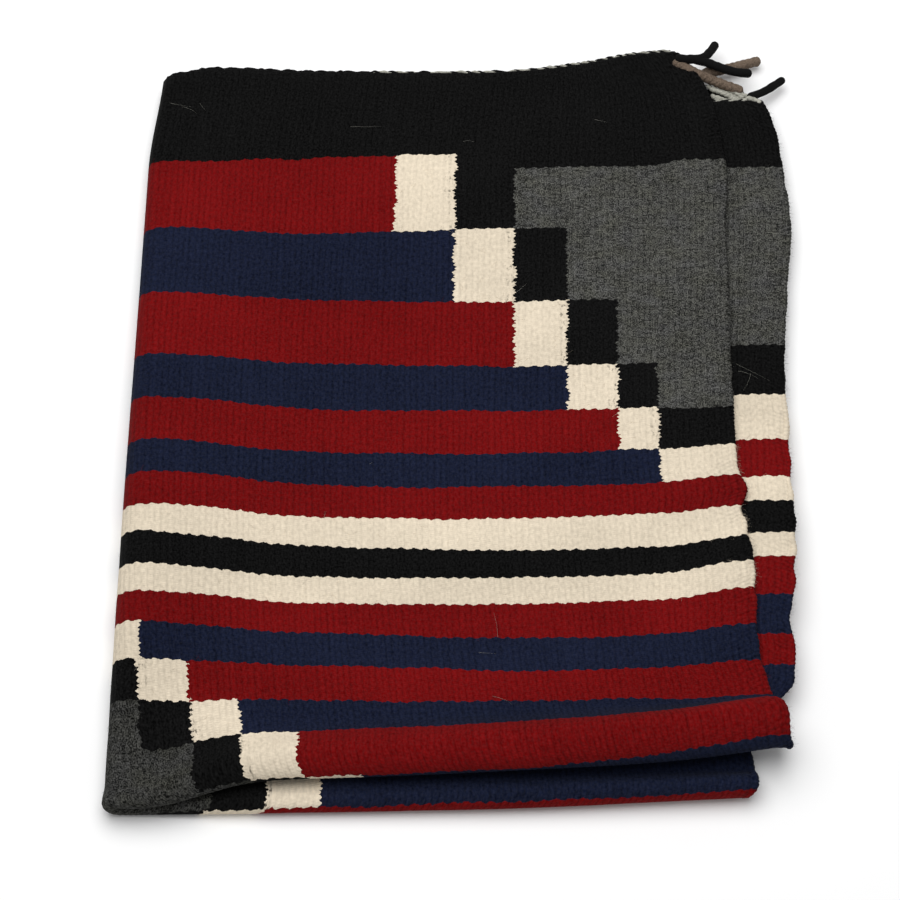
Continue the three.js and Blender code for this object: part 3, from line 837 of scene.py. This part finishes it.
def strand(cord, route, seed):
    """Plies of a cord along a smooth path: each a helix round it, rounded off at both tips."""
    cord_radius, plies = cord["radius"], cord["plies"]
    path = curve_through(route, STRAND["rings"])
    tangent = unit(np.gradient(path, axis=0))
    side = unit(np.cross(tangent, [0.0, 0.0, 1.0]))
    lift = np.cross(side, tangent)
    run = np.concatenate([[0.0], np.cumsum(np.linalg.norm(np.diff(path, axis=0), axis=1))])
    to_tip = np.minimum(run, run[-1] - run)
    tip = np.sqrt(np.clip(1.0 - (1.0 - to_tip / cord_radius) ** 2, STRAND["tip"] ** 2, 1.0))
    tip[to_tip >= cord_radius] = 1.0
    ply_radius = cord_radius * (1.0 if plies == 1 else STRAND["ply"])
    reach = (0.0 if plies == 1 else STRAND["off"]) * cord_radius * tip
    parts = []
    for ply in range(plies):
        angle = 2 * np.pi * (run / cord["twist"] + ply / plies)
        helix = np.cos(angle)[:, None] * side + np.sin(angle)[:, None] * lift
        uneven = STRAND["uneven"] * smooth_noise(run / STRAND["uneven_run"], seed + ply)
        radius = ply_radius * tip * (1.0 + uneven)
        parts.append(swept(path + reach[:, None] * helix, side, lift, radius, STRAND["sides"]))
    return parts


def tassel(name, cord):
    """The strands of one cord as one piece."""
    parts = []
    for number, route in enumerate(cord["routes"]):
        parts += strand(cord, route, cord["seed"] + 10 * number)
    return joined(name, parts, STRAND["sides"])


def fibres(root, along, up, length, rise, sway, radius, joints=5):
    """Thin fibres: from each root along a direction, arched up by rise and bent aside by sway."""
    t = np.linspace(0.0, 1.0, joints)[None, :, None]
    aside = np.cross(up, along)
    length, rise, sway = (value[:, None, None] for value in (length, rise, sway))
    path = root[:, None, :] + along[:, None, :] * length * t + up[:, None, :] * rise * 4.0 * t * (1.0 - t)
    path = path + aside[:, None, :] * sway * t * t
    angle = np.linspace(0.0, 2 * np.pi, 3, endpoint=False)
    ring = np.cos(angle)[:, None] * aside[:, None, None, :]
    ring = ring + np.sin(angle)[:, None] * up[:, None, None, :]
    taper = (1.0 - 0.75 * t)[..., None]
    return path[:, :, None, :] + radius * taper * ring


def fibre_piece(name, points, cloth_uv):
    """One piece from many fibres of three-sided rings, each with the cloth coordinates of its root."""
    count, joints, sides, _ = points.shape
    block = ring_quads(joints, sides)
    quads = (block[None, :, :] + (np.arange(count) * joints * sides)[:, None, None]).reshape(-1, 4)
    uv = np.repeat(cloth_uv, joints * sides, axis=0)
    return piece(name, points.reshape(-1, 3) * MM + ORIGIN, quads, cloth_uv=uv)


# Loose fibres: how many on the top face, on the strip beside it and on the selvedges, where those start,
# and how thick a fibre is
FUZZ = {"top": 1700, "strip": 220, "edge": 1100, "top_from": -30.0, "strip_from": 338.0,
        "strip_to": -45.0, "margin": 2.0, "radius": 0.06}


def wool_fuzz():
    """Loose wool fibres lying on the faces that show and standing off the right selvedges."""
    draw = np.random.default_rng(11)
    top, strip, edge, margin = FUZZ["top"], FUZZ["strip"], FUZZ["edge"], FUZZ["margin"]
    count = top + strip + edge
    a = np.concatenate([draw.uniform(FUZZ["top_from"], HALF_WIDTH - margin, top),
                        draw.uniform(FUZZ["strip_from"], HALF_WIDTH - margin, strip),
                        np.full(edge, HALF_WIDTH)])
    b = np.concatenate([draw.uniform(margin, LENGTH_ONE - margin, top),
                        draw.uniform(margin - LENGTH_TWO, FUZZ["strip_to"], strip),
                        draw.uniform(-LENGTH_TWO, LENGTH_ONE, edge)])
    side = np.concatenate([np.ones(top), -np.ones(strip), np.where(draw.random(edge) < 0.5, 1.0, -1.0)])
    on_edge = np.arange(count) >= top + strip
    along_a, along_b, normal = cloth_axes(a, b)
    turn = draw.uniform(0.0, 2 * np.pi, count)
    turn = np.where(on_edge, draw.normal(0.0, 0.6, count), turn)
    heading = np.cos(turn)[:, None] * along_a + np.sin(turn)[:, None] * along_b
    up = normal * side[:, None]
    root = cloth_middle(a, b) + up * np.where(on_edge, 0.8, THICK / 2 - 0.1)[:, None]
    length = np.where(on_edge, draw.uniform(2.0, 4.2, count), draw.uniform(2.0, 6.5, count))
    rise = np.where(on_edge, draw.uniform(-0.3, 0.8, count), draw.uniform(0.15, 0.8, count))
    sway = draw.normal(0.0, 1.2, count)
    points = fibres(root, heading, up, length, rise, sway, FUZZ["radius"])
    return fibre_piece("wool_fuzz", points, np.stack([a, b], axis=-1))


# Pale lint caught in the weave: cloth place, heading in degrees from the rows, length, sway
LINT = ((22, 470, -32, 15, 4), (30, 466, -20, 12, -3), (41, 468, -62, 7, 1.5), (141, 451, -8, 20, 3),
        (372, 284, -55, 16, 4), (366, 276, -40, 12, -3), (233, 97, 88, 16, 1.5), (161, 211, 20, 2, 0.3),
        (250, 330, 30, 9, 2), (300, 455, -30, 8, 2), (215, 440, 15, 7, -2), (120, 130, 40, 6, 1),
        (221, 87, -8, 10, 0.5), (226, 59, -15, 12, -2), (352, -266, 36, 24, 2), (353, -261, 18, 14, -2),
        (361, -259, 98, 13, -3))
LINT_RADIUS = 0.065


def lint_hairs():
    """Single pale hairs on the top layer and, where b is below zero, on the strip beside it."""
    a, b, heading, length, sway = np.array(LINT, float).T
    along_a, along_b, normal = cloth_axes(a, b)
    turn = np.radians(heading)
    along = np.cos(turn)[:, None] * along_a + np.sin(turn)[:, None] * along_b
    up = normal * np.where(b > 0, 1.0, -1.0)[:, None]
    root = cloth_middle(a, b) + up * (THICK / 2)
    points = fibres(root, along, up, length, 0.03 * length + 0.3, sway, LINT_RADIUS, joints=9)
    return fibre_piece("lint_hairs", points, np.stack([a, b], axis=-1))


# Stage, light and view

def pale_floor():
    half, white = FLOOR["half"], FLOOR["white"]
    mesh = bpy.data.meshes.new("floor")
    corners = [(-half, -half, 0), (half, -half, 0), (half, half, 0), (-half, half, 0)]
    mesh.from_pydata(corners, [], [(0, 1, 2, 3)])
    floor = bpy.data.objects.new("floor", mesh)
    bpy.context.scene.collection.objects.link(floor)
    f = Finish("pale_floor")
    shader = f.add("ShaderNodeBsdfPrincipled")
    shader.inputs["Base Color"].default_value = (white, white, white, 1.0)
    shader.inputs["Roughness"].default_value = 0.9
    f.put(f.out.inputs["Surface"], shader.outputs[0])
    mesh.materials.append(f.material)


def look(direction):
    """Turn that points an object's -Z along a direction, its +Y as far up as it goes."""
    return Vector(direction).to_track_quat("-Z", "Y").to_euler()


def overhead_light():
    """One wide soft disk above the rug, aimed at its middle."""
    light = bpy.data.lights.new("overhead", "AREA")
    light.shape = "DISK"
    light.size = OVERHEAD["size"]
    light.energy = OVERHEAD["power"]
    lamp = bpy.data.objects.new("overhead", light)
    lamp.location = OVERHEAD["place"]
    lamp.rotation_euler = look(-np.array(OVERHEAD["place"]))
    bpy.context.scene.collection.objects.link(lamp)


def studio():
    scene = bpy.context.scene
    world = bpy.data.worlds.new("studio")
    world.use_nodes = True
    sky = world.node_tree.nodes["Background"]
    sky.inputs[0].default_value = (1.0, 1.0, 1.0, 1.0)
    sky.inputs[1].default_value = SKY
    scene.world = world
    scene.view_settings.view_transform = "Standard"
    overhead_light()


def photo_camera():
    camera = bpy.data.cameras.new("photo_view")
    camera.lens = VIEW["lens"]
    camera.sensor_width = VIEW["sensor"]
    seat = bpy.data.objects.new("photo_view", camera)
    rise = math.radians(VIEW["elevation"])
    back = np.array([0.0, -math.cos(rise), math.sin(rise)])
    aim = np.array(VIEW["aim"]) * MM + ORIGIN
    seat.location = aim + back * VIEW["distance"] * MM
    seat.rotation_euler = look(-back)
    bpy.context.scene.collection.objects.link(seat)
    bpy.context.scene.camera = seat


photo_camera()
studio()
pale_floor()

wool = woven_wool()
black = cord_wool("black_cord", colour=(20, 20, 20), fleck=0.35, relief=0.25)
brown = cord_wool("brown_cord", colour=(106, 92, 80), fleck=0.9, relief=0.5)
pale = cord_wool("pale_cord", colour=(160, 159, 149), fleck=0.8, relief=0.45)

rug = finish_piece(rug_cloth(), wool)
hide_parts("rug_cloth")
turns = finish_piece(selvedge_turns(), wool)
fuzz = finish_piece(wool_fuzz(), wool)
dark_ends = [end_ply(0, 1.0), end_ply(0, -1.0), end_ply(1, 1.0, to_a=END_CORD["pale_from"])]
dark_end_cords = finish_piece(joined("dark_end_cords", dark_ends, END_CORD["sides"]), black)
pale_ends = [end_ply(1, 1.0, from_a=END_CORD["pale_from"]), end_ply(1, -1.0)]
pale_end_cords = finish_piece(joined("pale_end_cords", pale_ends, END_CORD["sides"]), pale)
loose_ends = finish_piece(tassel("loose_ends", LOOSE_ENDS), pale)
lint = finish_piece(lint_hairs(), pale)

black_upper = finish_piece(tassel("black_strands_upper", BLACK_UPPER), black)
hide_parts("tassel_black_upper")
brown_upper = finish_piece(tassel("brown_strands_upper", BROWN_UPPER), brown)
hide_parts("tassel_brown_upper")
black_lower = finish_piece(tassel("black_strand_lower", BLACK_LOWER), black)
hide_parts("tassel_black_lower")
